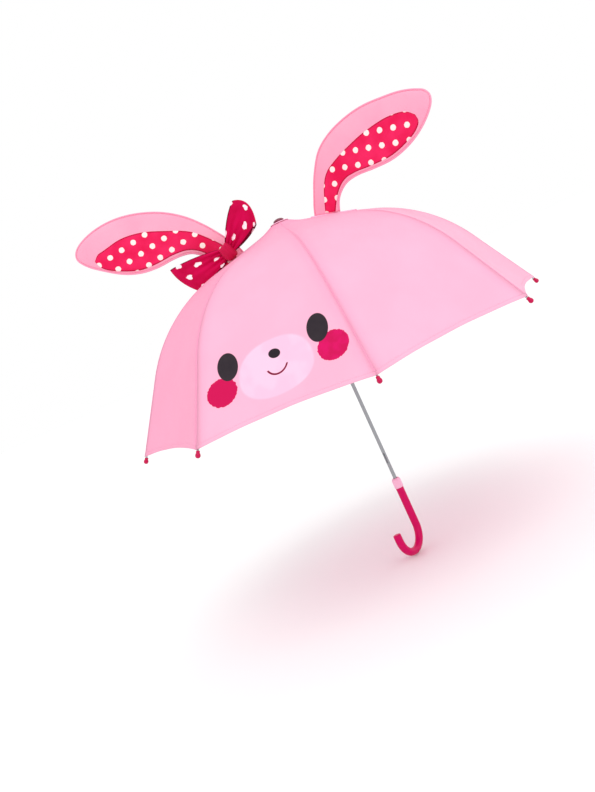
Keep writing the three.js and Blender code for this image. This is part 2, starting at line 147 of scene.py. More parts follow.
notch_low, notch_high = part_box("notch_wire")
PIVOT_RADIUS = (notch_high.x - notch_low.x) / 2 - WIRE_RADIUS
PIVOT_HEIGHT = (notch_high.z + notch_low.z) / 2
reach = TIP_RADIUS - PIVOT_RADIUS
drop = PIVOT_HEIGHT - TIP_HEIGHT
START_SLOPE = math.atan2(drop, reach) - RIB_TURNING / 2
half_chord = math.hypot(reach, drop) / 2
BEND_RADIUS = (half_chord - RIB_STRAIGHT * math.cos(RIB_TURNING / 2)) / math.sin(RIB_TURNING / 2)
BEND_LENGTH = BEND_RADIUS * RIB_TURNING
RIB_LENGTH = 2 * RIB_STRAIGHT + BEND_LENGTH


def smooth(low, high, value):
    t = np.clip((value - low) / (high - low), 0, 1)
    return t * t * (3 - 2 * t)


def rib_point(along, lift):
    """(out from the shaft, height, slope) at a length along a rib's middle line and a height above it."""
    first = min(along, RIB_STRAIGHT)
    bent = min(max(along - RIB_STRAIGHT, 0), BEND_LENGTH)
    last = max(along - RIB_STRAIGHT - BEND_LENGTH, 0)
    slope = START_SLOPE + bent / BEND_RADIUS
    out = PIVOT_RADIUS + first * math.cos(START_SLOPE) + last * math.cos(slope)
    out += BEND_RADIUS * (math.sin(slope) - math.sin(START_SLOPE)) + lift * math.sin(slope)
    up = PIVOT_HEIGHT - first * math.sin(START_SLOPE) - last * math.sin(slope)
    up -= BEND_RADIUS * (math.cos(START_SLOPE) - math.cos(slope)) - lift * math.cos(slope)
    return out, up, slope


def turned_to(rib_turn, point):
    """A point given as (across, out, up), turned to a direction seen from above, from -Y towards +X."""
    across, out, up = point
    c, s = math.cos(rib_turn), math.sin(rib_turn)
    return Vector((out * s + across * c, -out * c + across * s, up))


def rib_turn(k):
    return STEP * (k - 1) - STEP / 2


# ---- meshes ----
def add_mesh(name, points, faces, material, smooth_faces=True, uvs=None):
    """uvs is {layer name: one (u, v) for each point}."""
    mesh = bpy.data.meshes.new(name)
    mesh.from_pydata([tuple(p) for p in points], [], faces)
    for layer_name, values in (uvs or {}).items():
        layer = mesh.uv_layers.new(name=layer_name)
        for loop in mesh.loops:
            layer.data[loop.index].uv = values[loop.vertex_index]
    if smooth_faces:
        mesh.shade_smooth()
    mesh.materials.append(material)
    mesh.update()
    piece = bpy.data.objects.new(name, mesh)
    bpy.context.scene.collection.objects.link(piece)
    return piece


def face_outwards(piece):
    bm = bmesh.new()
    bm.from_mesh(piece.data)
    bmesh.ops.recalc_face_normals(bm, faces=bm.faces)
    bm.to_mesh(piece.data)
    bm.free()
    return piece


def sharp_edges(piece, degrees=35):
    piece.data.set_sharp_from_angle(angle=math.radians(degrees))
    return piece


def shell(name, upper, lower, material, uvs):
    """Closed sheet between two grids of points, grid[row][column]; uvs is {layer: grid of (u, v)}."""
    rows, columns = len(upper), len(upper[0])
    under = rows * columns
    points = [p for row in upper for p in row] + [p for row in lower for p in row]
    faces = []
    for i in range(rows - 1):
        for j in range(columns - 1):
            a = i * columns + j
            faces.append((a, a + columns, a + columns + 1, a + 1))
            faces.append((under + a, under + a + 1, under + a + columns + 1, under + a + columns))
    rim = list(range(columns - 1))
    rim += [i * columns + columns - 1 for i in range(rows - 1)]
    rim += [(rows - 1) * columns + j for j in range(columns - 1, 0, -1)]
    rim += [i * columns for i in range(rows - 1, 0, -1)]
    for n, a in enumerate(rim):
        b = rim[(n + 1) % len(rim)]
        faces.append((a, b, under + b, under + a))
    flat = {layer: [uv for row in grid for uv in row] * 2 for layer, grid in uvs.items()}
    return face_outwards(add_mesh(name, points, faces, material, uvs=flat))


def rings(name, loops, material, closed_ends=True, uvs=None):
    """Skin over closed loops of points with equal counts."""
    count = len(loops[0])
    points = [p for loop in loops for p in loop]
    faces = []
    for i in range(len(loops) - 1):
        for j in range(count):
            k = (j + 1) % count
            faces.append((i * count + j, i * count + k, (i + 1) * count + k, (i + 1) * count + j))
    if closed_ends:
        faces.append(tuple(range(count))[::-1])
        faces.append(tuple((len(loops) - 1) * count + j for j in range(count)))
    return face_outwards(add_mesh(name, points, faces, material, uvs=uvs))


def lathe(name, profile, material, place=Matrix.Identity(4), segments=48):
    """(radius, height) pairs in millimetres turned about Z, which start and end on the axis, or close."""
    on_axis = profile[0][0] == 0
    inner = profile[1:-1] if on_axis else profile[:-1]
    points = []
    for radius, height in inner:
        for j in range(segments):
            angle = 2 * math.pi * j / segments
            points.append(Vector((radius * math.cos(angle), radius * math.sin(angle), height)) * MM)
    faces = []
    rows = len(inner)
    for i in range(rows - 1 if on_axis else rows):
        for j in range(segments):
            k = (j + 1) % segments
            n = (i + 1) % rows
            faces.append((i * segments + j, i * segments + k, n * segments + k, n * segments + j))
    if on_axis:
        for end, row in ((profile[0], 0), (profile[-1], rows - 1)):
            points.append(Vector((0, 0, end[1])) * MM)
            middle = len(points) - 1
            for j in range(segments):
                faces.append((middle, row * segments + j, row * segments + (j + 1) % segments))
    piece = add_mesh(name, [place @ p for p in points], faces, material)
    return sharp_edges(face_outwards(piece), 40)


def rounded(profile, radius, steps=4):
    """The profile with its corners replaced by short curves; first and last points stay."""
    made = [profile[0]]
    for before, corner, after in zip(profile, profile[1:], profile[2:]):
        a, b, c = (np.array(p, float) for p in (before, corner, after))
        start = b + (a - b) * min(0.45, radius / max(np.linalg.norm(a - b), 1e-9))
        end = b + (c - b) * min(0.45, radius / max(np.linalg.norm(c - b), 1e-9))
        for i in range(steps + 1):
            t = i / steps
            made.append(tuple((1 - t) ** 2 * start + 2 * t * (1 - t) * b + t * t * end))
    made.append(profile[-1])
    return made


def tangents_of(line):
    """Unit direction at each point of a line, from the point before it to the point after it."""
    last = len(line) - 1
    return [(line[min(i + 1, last)] - line[max(i - 1, 0)]).normalized() for i in range(last + 1)]


def tube(name, line, radius, material, sides=24, closed_ends=True, scale=None):
    """Round tube along a list of points; scale(share) changes its radius."""
    line = [Vector(p) for p in line]
    tangents = tangents_of(line)
    side = tangents[0].orthogonal().normalized()
    loops = []
    for i, (point, tangent) in enumerate(zip(line, tangents)):
        side = (side - tangent * side.dot(tangent)).normalized()
        other = tangent.cross(side)
        size = radius * (scale(i / (len(line) - 1)) if scale else 1)
        loops.append([
            point + size * (math.cos(a) * side + math.sin(a) * other)
            for a in (2 * math.pi * j / sides for j in range(sides))
        ])
    return rings(name, loops, material, closed_ends)


def evenly(points, count, power=1.0):
    """Points at equal shares of a line's length, along a centripetal curve through the given points."""
    points = [np.array(p, float) for p in points]
    dense = []
    padded = [2 * points[0] - points[1], *points, 2 * points[-1] - points[-2]]
    for p0, p1, p2, p3 in zip(padded, padded[1:], padded[2:], padded[3:]):
        for i in range(12):
            t = i / 12
            dense.append(0.5 * (
                2 * p1 + (p2 - p0) * t + (2 * p0 - 5 * p1 + 4 * p2 - p3) * t ** 2
                + (3 * p1 - p0 - 3 * p2 + p3) * t ** 3
            ))
    dense.append(points[-1])
    dense = np.array(dense)
    length = np.concatenate([[0], np.cumsum(np.linalg.norm(np.diff(dense, axis=0), axis=1))])
    shares = np.linspace(0, 1, count) ** power
    return [
        Vector([np.interp(share * length[-1], length, dense[:, axis]) for axis in range(dense.shape[1])])
        for share in shares
    ]


# ---- materials ----
def srgb(code):
    values = [int(code[i:i + 2], 16) / 255 for i in (1, 3, 5)]
    return [v / 12.92 if v <= 0.04045 else ((v + 0.055) / 1.055) ** 2.4 for v in values] + [1.0]


class Shade:
    """A material and short calls for its nodes. A value may be a number, a colour or a node's socket."""

    def __init__(self, name, roughness, **sockets):
        self.material = bpy.data.materials.new(name)
        self.material.use_nodes = True
        self.tree = self.material.node_tree
        self.shader = self.tree.nodes["Principled BSDF"]
        self.shader.inputs["Roughness"].default_value = roughness
        for socket, value in sockets.items():
            self.shader.inputs[socket.replace("_", " ")].default_value = value

    def put(self, socket, value):
        if isinstance(value, bpy.types.NodeSocket):
            self.tree.links.new(value, socket)
        else:
            socket.default_value = value

    def node(self, kind, inputs=(), **settings):
        node = self.tree.nodes.new(kind)
        for key, value in settings.items():
            setattr(node, key, value)
        for key, value in dict(inputs).items():
            self.put(node.inputs[key], value)
        return node

    def math(self, operation, a, b=0.0, c=0.0):
        return self.node("ShaderNodeMath", {0: a, 1: b, 2: c}, operation=operation).outputs[0]

    def mix(self, share, a, b):
        node = self.node("ShaderNodeMix", data_type="RGBA")
        for socket, value in ((0, share), (6, a), (7, b)):
            self.put(node.inputs[socket], value)
        return node.outputs[2]

    def step(self, low, high, value):
        """0 below low and 1 above high, or the other way round, with a smooth edge."""
        settings = {"Value": value, "From Min": low, "From Max": high}
        return self.node("ShaderNodeMapRange", settings, interpolation_type="SMOOTHSTEP").outputs[0]

    def uv(self, layer):
        uv = self.node("ShaderNodeUVMap", uv_map=layer).outputs[0]
        split = self.node("ShaderNodeSeparateXYZ", {0: uv})
        return uv, split.outputs[0], split.outputs[1]

    def noise(self, scale, detail=2.0, vector=None):
        inputs = {"Scale": scale, "Detail": detail}
        if vector is not None:
            inputs["Vector"] = vector
        return self.node("ShaderNodeTexNoise", inputs).outputs[0]

    def place(self):
        return self.node("ShaderNodeTexCoord").outputs["Object"]

    def ellipse(self, u, v, centre, half):
        """0 at the ellipse's middle and 1 on its edge, squared."""
        du = self.math("DIVIDE", self.math("SUBTRACT", u, centre[0]), half[0])
        dv = self.math("DIVIDE", self.math("SUBTRACT", v, centre[1]), half[1])
        return self.math("ADD", self.math("MULTIPLY", du, du), self.math("MULTIPLY", dv, dv))

    def weave(self, u, v, pitch):
        """Plain weave: 0 to 1."""
        waves = [self.math("SINE", self.math("MULTIPLY", x, 2 * math.pi / pitch)) for x in (u, v)]
        return self.math("MULTIPLY_ADD", self.math("MULTIPLY", *waves), 0.5, 0.5)

    def bump(self, *layers):
        """Each layer is (height from 0 to 1, depth in metres)."""
        normal = None
        for height, depth in layers:
            inputs = {"Strength": 1.0, "Distance": depth, "Height": height}
            if normal is not None:
                inputs["Normal"] = normal
            normal = self.node("ShaderNodeBump", inputs).outputs[0]
        self.put(self.shader.inputs["Normal"], normal)

    def colour(self, value):
        self.put(self.shader.inputs["Base Color"], value)
        return self.material


PINK = srgb("#F6AFC9")
DEEP_PINK = srgb("#EF90B4")
STITCH_PINK = srgb("#E996BA")
WEAVE = 0.9 * MM
STITCH = 3.2 * MM


def cloth_shade(name, roughness=0.75, sheen=0.06, specular=0.18):
    return Shade(name, roughness, Sheen_Weight=sheen, Sheen_Roughness=0.4, Specular_IOR_Level=specular)


def canopy_cloth(name, with_face=False, painted_shade=0.0):
    """Pink taffeta, stitched hem, painted shade in a band along each seam; u, v run across and along the
    panel, edge is the way to hem and seam. The panel's pink can be darkened all over as painted shade, for
    the gores on the shaded side.
    """
    s = cloth_shade(name)
    uv, u, v = s.uv("cloth")
    _, to_hem, to_seam = s.uv("edge")
    soft = s.noise(9.0, 3.0, uv)
    tone = s.mix(s.step(0.35, 0.65, soft), PINK, srgb("#F7B3CD"))
    tone = s.mix(s.math("MULTIPLY", s.step(260 * MM, 60 * MM, v), 0.3), tone, DEEP_PINK)
    # painted shade: the whole panel's pink is darkened by this share, for the gores on the shaded side
    tone = s.mix(painted_shade, tone, DEEP_PINK)
    # painted shade: the pink darkens over the last 24 mm towards each seam
    painted_seam_shade = s.math("MULTIPLY", s.step(24 * MM, 0.0, to_seam), 0.28)
    tone = s.mix(painted_seam_shade, tone, DEEP_PINK)
    if with_face:
        tone = printed_face(s, uv, u, v, tone)
    along_stitch = s.math("SINE", s.math("MULTIPLY", u, 2 * math.pi / STITCH))
    dash = s.step(-0.3, 0.1, along_stitch)
    off_line = s.math("ABSOLUTE", s.math("SUBTRACT", to_hem, HEM_WIDTH - 1.4 * MM))
    line = s.step(0.55 * MM, 0.25 * MM, off_line)
    thread = s.math("MULTIPLY", line, dash)
    tone = s.mix(s.math("MULTIPLY", thread, 0.4), tone, STITCH_PINK)
    seam_line = s.step(1.3 * MM, 0.3 * MM, to_seam)
    tone = s.mix(s.math("MULTIPLY", seam_line, 0.5), tone, srgb("#E48CAE"))
    wrinkle = s.noise(38.0, 3.0, uv)
    s.bump(
        (s.weave(u, v, WEAVE), 0.05 * MM),
        (wrinkle, 0.35 * MM),
        (thread, 0.12 * MM),
    )
    return s.colour(tone)


# The printed face, in millimetres across and along the panel: (centre, half size) of each oval.
FACE_MIDDLE = 4
MUZZLE = (3, 393, 58.5, 49)
MUZZLE_LOWER_CUT = 11
CHEEK = (88.5, 393.8, 24.2, 21.8)
EYE = (72.3, 358.8, 16.5, 21.9)
NOSE = (5.1, 367.7, 9.3, 7.4)
NOSE_TILT = 0.16
SMILE = (5.2, 382.6, 17, 17)
SMILE_TOP = (388.6, 389.8)


def oval(s, u, v, sizes):
    across, along, half_across, half_along = sizes
    return s.ellipse(u, v, (across * MM, along * MM), (half_across * MM, half_along * MM))


def printed_face(s, uv, u, v, tone):
    """A plain rabbit's face: oval eyes, round cheeks with ragged edges, a pale muzzle, a nose and a smile."""
    across, along, half_across, half_along = MUZZLE
    below = s.math("GREATER_THAN", v, along * MM)
    muzzle_half = s.math("SUBTRACT", half_along * MM, s.math("MULTIPLY", below, MUZZLE_LOWER_CUT * MM))
    du = s.math("DIVIDE", s.math("SUBTRACT", u, across * MM), half_across * MM)
    dv = s.math("DIVIDE", s.math("SUBTRACT", v, along * MM), muzzle_half)
    power = [s.math("POWER", s.math("ABSOLUTE", x), 2.25) for x in (du, dv)]
    muzzle = s.step(1.08, 0.9, s.math("ADD", *power))
    muzzle_tone = s.mix(s.step(0.4, 0.6, s.noise(22.0, 2.0, uv)), srgb("#F6C6DF"), srgb("#F4BFDA"))
    tone = s.mix(muzzle, tone, muzzle_tone)
    mirrored = s.math("ABSOLUTE", s.math("SUBTRACT", u, FACE_MIDDLE * MM))
    cheek = oval(s, mirrored, v, CHEEK)
    ragged = s.math("MULTIPLY_ADD", s.noise(260.0, 1.0, uv), 0.3, -0.15)
    cheek = s.step(1.03, 0.97, s.math("ADD", cheek, ragged))
    cheek_tone = s.mix(s.step(0.35, 0.65, s.noise(60.0, 2.0, uv)), srgb("#C90052"), srgb("#D60060"))
    cheek_tone = s.mix(s.step(-0.02, 0.02, u), srgb("#CB0050"), cheek_tone)
    tone = s.mix(cheek, tone, cheek_tone)
    eye = s.step(1.04, 0.95, oval(s, mirrored, v, EYE))
    tone = s.mix(eye, tone, s.mix(s.noise(60.0, 2.0, uv), srgb("#261E26"), srgb("#352C32")))
    from_nose = s.math("SUBTRACT", u, NOSE[0] * MM)
    tilted = s.math("SUBTRACT", v, s.math("MULTIPLY", from_nose, NOSE_TILT))
    nose = s.step(1.1, 0.9, oval(s, u, tilted, NOSE))
    tone = s.mix(nose, tone, srgb("#251D25"))
    far = s.math("SQRT", oval(s, u, v, SMILE))
    off = s.math("ABSOLUTE", s.math("SUBTRACT", far, 1.0))
    line = s.step(0.1, 0.065, off)
    lower = s.step(SMILE_TOP[0] * MM, SMILE_TOP[1] * MM, v)
    return s.mix(s.math("MULTIPLY", line, lower), tone, srgb("#7E0A34"))


def plain_cloth(name, colour, other, pitch=WEAVE):
    """Woven cloth by the piece's own place, for small pieces."""
    s = cloth_shade(name)
    at = s.place()
    split = s.node("ShaderNodeSeparateXYZ", {0: at})
    threads = s.weave(s.math("ADD", split.outputs[0], split.outputs[1]), split.outputs[2], pitch)
    tone = s.mix(s.step(0.35, 0.65, s.noise(14.0, 3.0, at)), colour, other)
    s.bump((threads, 0.05 * MM), (s.noise(60.0, 3.0, at), 0.4 * MM))
    return s.colour(tone)


DOT_PITCH = 22.6 * MM
DOT_RADIUS = 4.6 * MM


def dotted_cloth(name, turn, start):
    """Hot pink with rows of cream dots and a painted shadow along its edge; u, v are out and up in the ear's
    plane.
    """
    s = cloth_shade(name, 0.7, 0.02, 0.08)
    uv, u, v = s.uv("cloth")
    c, t = math.cos(turn), math.sin(turn)
    across = s.math("ADD", s.math("MULTIPLY", u, c), s.math("MULTIPLY", v, t))
    up = s.math("SUBTRACT", s.math("MULTIPLY", v, c), s.math("MULTIPLY", u, t))
    offsets = []
    for x, first in zip((across, up), start):
        in_cell = s.math("FRACT", s.math("SUBTRACT", s.math("DIVIDE", x, DOT_PITCH), first - 0.5))
        offsets.append(s.math("MULTIPLY", s.math("SUBTRACT", in_cell, 0.5), DOT_PITCH))
    from_dot = s.math("SQRT", s.ellipse(offsets[0], offsets[1], (0.0, 0.0), (1.0, 1.0)))
    wobble = s.math("MULTIPLY_ADD", s.noise(260.0, 2.0, uv), 1.6 * MM, -0.8 * MM)
    dot = s.step(DOT_RADIUS + 0.3 * MM, DOT_RADIUS - 0.3 * MM, s.math("ADD", from_dot, wobble))
    cloth = s.mix(s.step(0.3, 0.7, s.noise(26.0, 3.0, uv)), srgb("#E2164F"), srgb("#EE2862"))
    _, to_edge, _ = s.uv("edge")
    # painted shadow: dark pink within 3 mm of the lining's edge, the shade that falls along it
    cloth = s.mix(s.step(3.0 * MM, 0.3 * MM, to_edge), cloth, srgb("#B30838"))
    tone = s.mix(dot, cloth, s.mix(s.noise(120.0, 2.0, uv), srgb("#FFF6EE"), srgb("#FFE6E2")))
    s.bump((s.weave(u, v, WEAVE), 0.05 * MM), (s.noise(50.0, 3.0, uv), 0.5 * MM))
    return s.colour(tone)


HEART_PITCH = 27 * MM
HEART_ROW = HEART_PITCH * 0.8
HEART_SIZE = 4.2 * MM
HEARTS_LEFT_OUT = 0.2


def heart_cloth(name):
    """Crimson with white hearts turned every way and painted shade along its edges; u, v are across and along
    the ribbon.
    """
    s = cloth_shade(name, 0.65, 0.01, 0.06)
    uv, u, v = s.uv("cloth")
    row = s.math("FLOOR", s.math("DIVIDE", v, HEART_ROW))
    shifted = s.math("ADD", u, s.math("MULTIPLY", s.math("MODULO", row, 2.0), HEART_PITCH / 2))
    column = s.math("FLOOR", s.math("DIVIDE", shifted, HEART_PITCH))
    cell = s.node("ShaderNodeCombineXYZ", {0: row, 1: column}).outputs[0]
    chance = s.node("ShaderNodeTexWhiteNoise", {"Vector": cell}, noise_dimensions="3D").outputs[0]
    in_column = s.math("FRACT", s.math("DIVIDE", shifted, HEART_PITCH))
    x = s.math("MULTIPLY", s.math("SUBTRACT", in_column, 0.5), HEART_PITCH / HEART_SIZE)
    in_row = s.math("FRACT", s.math("DIVIDE", v, HEART_ROW))
    y = s.math("MULTIPLY", s.math("SUBTRACT", in_row, 0.5), HEART_ROW / HEART_SIZE)
    at = s.node("ShaderNodeCombineXYZ", {0: x, 1: y}).outputs[0]
    spin = s.math("MULTIPLY", chance, 2 * math.pi)
    spun = s.node("ShaderNodeVectorRotate", {"Vector": at, "Angle": spin}, rotation_type="Z_AXIS")
    split = s.node("ShaderNodeSeparateXYZ", {0: spun.outputs[0]})
    x, y = split.outputs[0], split.outputs[1]
    x2, y2 = s.math("MULTIPLY", x, x), s.math("MULTIPLY", y, y)
    bulk = s.math("SUBTRACT", s.math("ADD", x2, y2), 1.0)
    bulk = s.math("MULTIPLY", s.math("MULTIPLY", bulk, bulk), bulk)
    lobes = s.math("MULTIPLY", x2, s.math("MULTIPLY", y2, y))
    heart = s.step(0.06, -0.04, s.math("SUBTRACT", bulk, lobes))
    cloth = s.mix(s.step(0.3, 0.7, s.noise(30.0, 3.0, uv)), srgb("#BA003E"), srgb("#D00450"))
    _, to_edge, _ = s.uv("edge")
    # painted shade: dark crimson within 2.6 mm of the ribbon's edges
    cloth = s.mix(s.step(2.6 * MM, 0.4 * MM, to_edge), cloth, srgb("#640624"))
    heart = s.math("MULTIPLY", heart, s.math("GREATER_THAN", chance, HEARTS_LEFT_OUT))
    tone = s.mix(heart, cloth, srgb("#FFF0F4"))
    s.bump((s.weave(u, v, WEAVE), 0.05 * MM), (s.noise(44.0, 3.0, uv), 0.6 * MM))
    return s.colour(tone)


def metal(name, colour, roughness, streak=0.08):
    """Drawn metal: fine streaks along Z and a little unevenness."""
    s = Shade(name, roughness, Metallic=0.92)
    at = s.place()
    stretched = s.node("ShaderNodeMapping", {"Vector": at, "Scale": (1, 1, 0.04)}).outputs[0]
    streaks = s.noise(900.0, 3.0, stretched)
    dark = [c * (1 - 2.2 * streak) for c in colour[:3]] + [1.0]
    s.put(s.shader.inputs["Roughness"], s.math("MULTIPLY_ADD", streaks, streak * 2, roughness - streak))
    s.bump((streaks, 0.01 * MM))
    return s.colour(s.mix(streaks, dark, colour))


def plastic(name, colour, other, roughness, coat=0.0, specular=0.5):
    """Moulded plastic: a very faint orange peel, small scuffs in the gloss."""
    s = Shade(name, roughness, Coat_Weight=coat, Coat_Roughness=0.08, Specular_IOR_Level=specular)
    at = s.place()
    scuffs = s.step(0.5, 0.75, s.noise(120.0, 4.0, at))
    s.put(s.shader.inputs["Roughness"], s.math("MULTIPLY_ADD", scuffs, 0.1, roughness))
    s.bump((s.noise(420.0, 2.0, at), 0.02 * MM))
    return s.colour(s.mix(s.noise(24.0, 2.0, at), colour, other))


SHAFT_STEEL = metal("shaft_steel", srgb("#A2A4A8"), 0.3)
RIB_STEEL = metal("rib_steel", srgb("#B9BABD"), 0.36)
SPRING_STEEL = metal("spring_steel", srgb("#8F9398"), 0.4)
HANDLE_PLASTIC = plastic("handle_plastic", srgb("#CE005A"), srgb("#D40060"), 0.3, 0.04, 0.12)
COLLAR_PLASTIC = plastic("collar_plastic", srgb("#FBC2DC"), srgb("#F9B8D6"), 0.35)
CAP_PLASTIC = plastic("cap_plastic", srgb("#7A1A3C"), srgb("#6C1434"), 0.35, 0.3)
TIP_PLASTIC = plastic("tip_plastic", srgb("#C6004E"), srgb("#B80046"), 0.3, 0.08, 0.2)
NOTCH_PLASTIC = plastic("notch_plastic", srgb("#EFECEC"), srgb("#E6E2E3"), 0.45)
EAR_CLOTH = plain_cloth("ear_cloth", srgb("#FCA4BE"), srgb("#FDABC3"))
PIPING_CLOTH = plain_cloth("piping_cloth", srgb("#F8A0BC"), srgb("#F69AB8"))
SEAM_CLOTH = plain_cloth("seam_cloth", srgb("#F59CC0"), srgb("#F6A4C6"))
BOW_KNOT_CLOTH = plain_cloth("bow_knot_cloth", srgb("#BC003E"), srgb("#CC0A4C"))
STRAP_CLOTH = plain_cloth("strap_cloth", srgb("#FCB2D2"), srgb("#FDBAD8"))

# ---- canopy: eight sewn gores that share their edges, one curved sheet over all ----
ACROSS = 25
ROWS = 64
SEAM_RADIUS = 0.42 * MM


def hem_length(across):
    return RIB_LENGTH - 1 * MM - HEM_CURVE * (1 - across * across)


def crown_lift(along):
    """Extra height of the cloth where it goes over the notch."""
    return CROWN_LIFT * math.exp(-((along / CROWN_REACH) ** 2))


def cloth_lift(along, across):
    """Height of the cloth's middle over the rib's middle line. It sags a little between the ribs."""
    crown = crown_lift(along)
    share = along / RIB_LENGTH
    middle = 1 - across * across
    sag = PANEL_SAG * middle * float(smooth(0.3, 0.7, share))
    pull = 0.5 * MM * middle * math.sin(9 * across + 14 * along) * float(smooth(0.1, 0.3, share))
    gathers = 0.35 * MM * middle * math.cos(17 * across) * float(smooth(0.2, 0.03, share))
    return CLOTH_ABOVE_RIB + crown - sag + pull + gathers


def gore_point(along, across, offset):
    out, up, _ = rib_point(along, cloth_lift(along, across) + offset)
    return across * out * math.sin(STEP / 2), out * math.cos(STEP / 2), up


def canopy_gore(k):
    body = f"rib_{k}"
    next_rib = k % PANELS + 1
    acrosses = [-1 + 2 * j / (ACROSS - 1) for j in range(ACROSS)]
    to_hem = [None] * ROWS + [HEM_WIDTH, HEM_WIDTH - 0.5 * MM, HEM_WIDTH / 2, 0.6 * MM, 0.0]
    upper, lower, cloth_uv, edge_uv = [], [], [], []
    for i, distance in enumerate(to_hem):
        rows = [[], [], [], []]
        for across in acrosses:
            hem = hem_length(across)
            last = hem - HEM_WIDTH - 0.4 * MM
            if distance is None:
                along = PANEL_START + (last - PANEL_START) * i / (ROWS - 1)
            else:
                along = hem - distance
            left = hem - along
            half = CLOTH / 2 + (HEM_EXTRA if left < HEM_WIDTH - 0.2 * MM else 0)
            half *= 0.45 if left < 0.1 * MM else 1
            point = gore_point(along, across, 0)
            for grid, offset in ((rows[0], half), (rows[1], -half)):
                grid.append(turned_to(STEP * (k - 1), gore_point(along, across, offset)))
            rows[2].append((point[0], along))
            rows[3].append((left, (1 - abs(across)) * point[1] * math.tan(STEP / 2)))
        for grid, row in zip((upper, lower, cloth_uv, edge_uv), rows):
            grid.append(row)
    # gores 7 and 8 take the cloth with painted shade, a darker pink for the shaded side
    material = FACE_CLOTH if k == 1 else PAINTED_SHADE_CLOTH if k in (7, 8) else PANEL_CLOTH
    gore = shell(f"canopy_gore_{k}", upper, lower, material, {"cloth": cloth_uv, "edge": edge_uv})
    follow = gore.vertex_groups.new(name="next_rib")
    layer = len(to_hem) * ACROSS
    for n in range(2 * layer):
        follow.add([n], (n % layer % ACROSS) / (ACROSS - 1), "REPLACE")
    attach(gore, body)
    hook = gore.modifiers.new("next_rib", "HOOK")
    hook.object = frame["bodies"][f"rib_{next_rib}"]
    hook.vertex_group = follow.name
    hook.matrix_inverse = Matrix.Identity(4)
    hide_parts(f"canopy_panel_{k}")
    length = RIB_LENGTH - PANEL_START
    strips = 200
    area = sum(
        2 * rib_point(PANEL_START + length * (i + 0.5) / strips, CLOTH_ABOVE_RIB)[0] * math.sin(STEP / 2)
        for i in range(strips)
    ) * (length - HEM_CURVE * 2 / 3) / strips


def seam(k):
    """Raised lock seam over one rib, from under the cap to the rib's tip."""
    steps = 70
    start, end = 4 * MM, RIB_LENGTH - 1.5 * MM
    section = 9
    upper = []
    for i in range(steps + 1):
        along = start + (end - start) * i / steps
        crown = crown_lift(along)
        ring = []
        for j in range(section):
            angle = math.pi * j / (section - 1)
            lift = CLOTH_ABOVE_RIB + crown + CLOTH / 2 - 0.25 * MM + 0.5 * MM * math.sin(angle)
            out, up, _ = rib_point(along, lift)
            ring.append(turned_to(rib_turn(k), (SEAM_RADIUS * 1.2 * math.cos(angle), out, up)))
        upper.append(ring)
    lower = []
    for i in range(steps + 1):
        along = start + (end - start) * i / steps
        crown = crown_lift(along)
        out, up, _ = rib_point(along, CLOTH_ABOVE_RIB + crown - CLOTH / 2 - 0.25 * MM)
        lower.append([
            turned_to(rib_turn(k), (2.6 * SEAM_RADIUS * (1 - 2 * j / (section - 1)), out, up))
            for j in range(section)
        ])
    piece = shell(f"seam_{k}", upper, lower, SEAM_CLOTH, {})
    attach(piece, f"rib_{k}")


def rosette():
    """Round patch of the canopy's cloth under the cap, over the gores' ends."""
    profile = [
        (6.9, 529.0), (6.9, 530.2), (9.5, 530.3), (13, 529.8), (15.6, 528.9),
        (16.1, 528.2), (15.4, 528.3), (12.8, 529.1), (9.5, 529.5), (6.9, 529.0),
    ]
    piece = lathe("crown_rosette", profile, STRAP_CLOTH, segments=64)
    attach(piece, "root")


FACE_CLOTH = canopy_cloth("face_cloth", with_face=True)
PANEL_CLOTH = canopy_cloth("canopy_cloth")
# canopy cloth with painted shade: its pink darkened all over, for the gores on the shaded side
PAINTED_SHADE_CLOTH = canopy_cloth("painted_shade_canopy_cloth", painted_shade=0.45)
for k in range(1, PANELS + 1):
    canopy_gore(k)
    seam(k)
rosette()


# ---- ears ----
EAR_PUFF = 3.2 * MM
EAR_HALF_THICKNESS = 1.8 * MM
SEAM_DROP = Vector((0, 0, 3.4 * MM))
PIPING_RADIUS = 1.35 * MM
EAR_ROWS = 72
EAR_COLUMNS = 28


def plate_outline(node):
    """Corners of a flat CAD plate's front face, from one end of its longest side to the other; its normal."""
    bm = bmesh.new()
    bm.from_mesh(frame["nodes"][node].data)
    bmesh.ops.remove_doubles(bm, verts=bm.verts, dist=1e-6)
    normal = max(bm.faces, key=lambda f: f.calc_area()).normal.copy()
    if normal.y > 0:
        normal.negate()
    front = {f for f in bm.faces if f.normal.dot(normal) > 0.99}
    nexts = {}
    for edge in bm.edges:
        if sum(f in front for f in edge.link_faces) == 1:
            a, b = edge.verts
            nexts.setdefault(a.index, []).append(b.index)
            nexts.setdefault(b.index, []).append(a.index)
    places = {v.index: v.co.copy() for v in bm.verts}
    bm.free()
    start = next(iter(nexts))
    order, before = [start], None
    while True:
        options = [n for n in nexts[order[-1]] if n != before]
        before = order[-1]
        if options[0] == start:
            break
        order.append(options[0])
    points = [places[n] for n in order]
    count = len(points)
    longest = max(range(count), key=lambda i: (points[(i + 1) % count] - points[i]).length)
    points = points[longest + 1:] + points[:longest + 1]
    if points[0].z < points[-1].z:
        points.reverse()
    return points, normal


def leaf_grid(points, rows, columns):
    """Grid over a leaf shape between its two long edges, from the longest side to the far tip."""
    seam_middle = (points[0] + points[-1]) / 2
    tip = max(range(len(points)), key=lambda i: (points[i] - seam_middle).length)
    first = evenly(points[:tip + 1], rows)
    second = evenly(points[tip:][::-1], rows)
    grid = []
    for a, b in zip(first, second):
        grid.append([a.lerp(b, j / (columns - 1)) for j in range(columns)])
    return grid


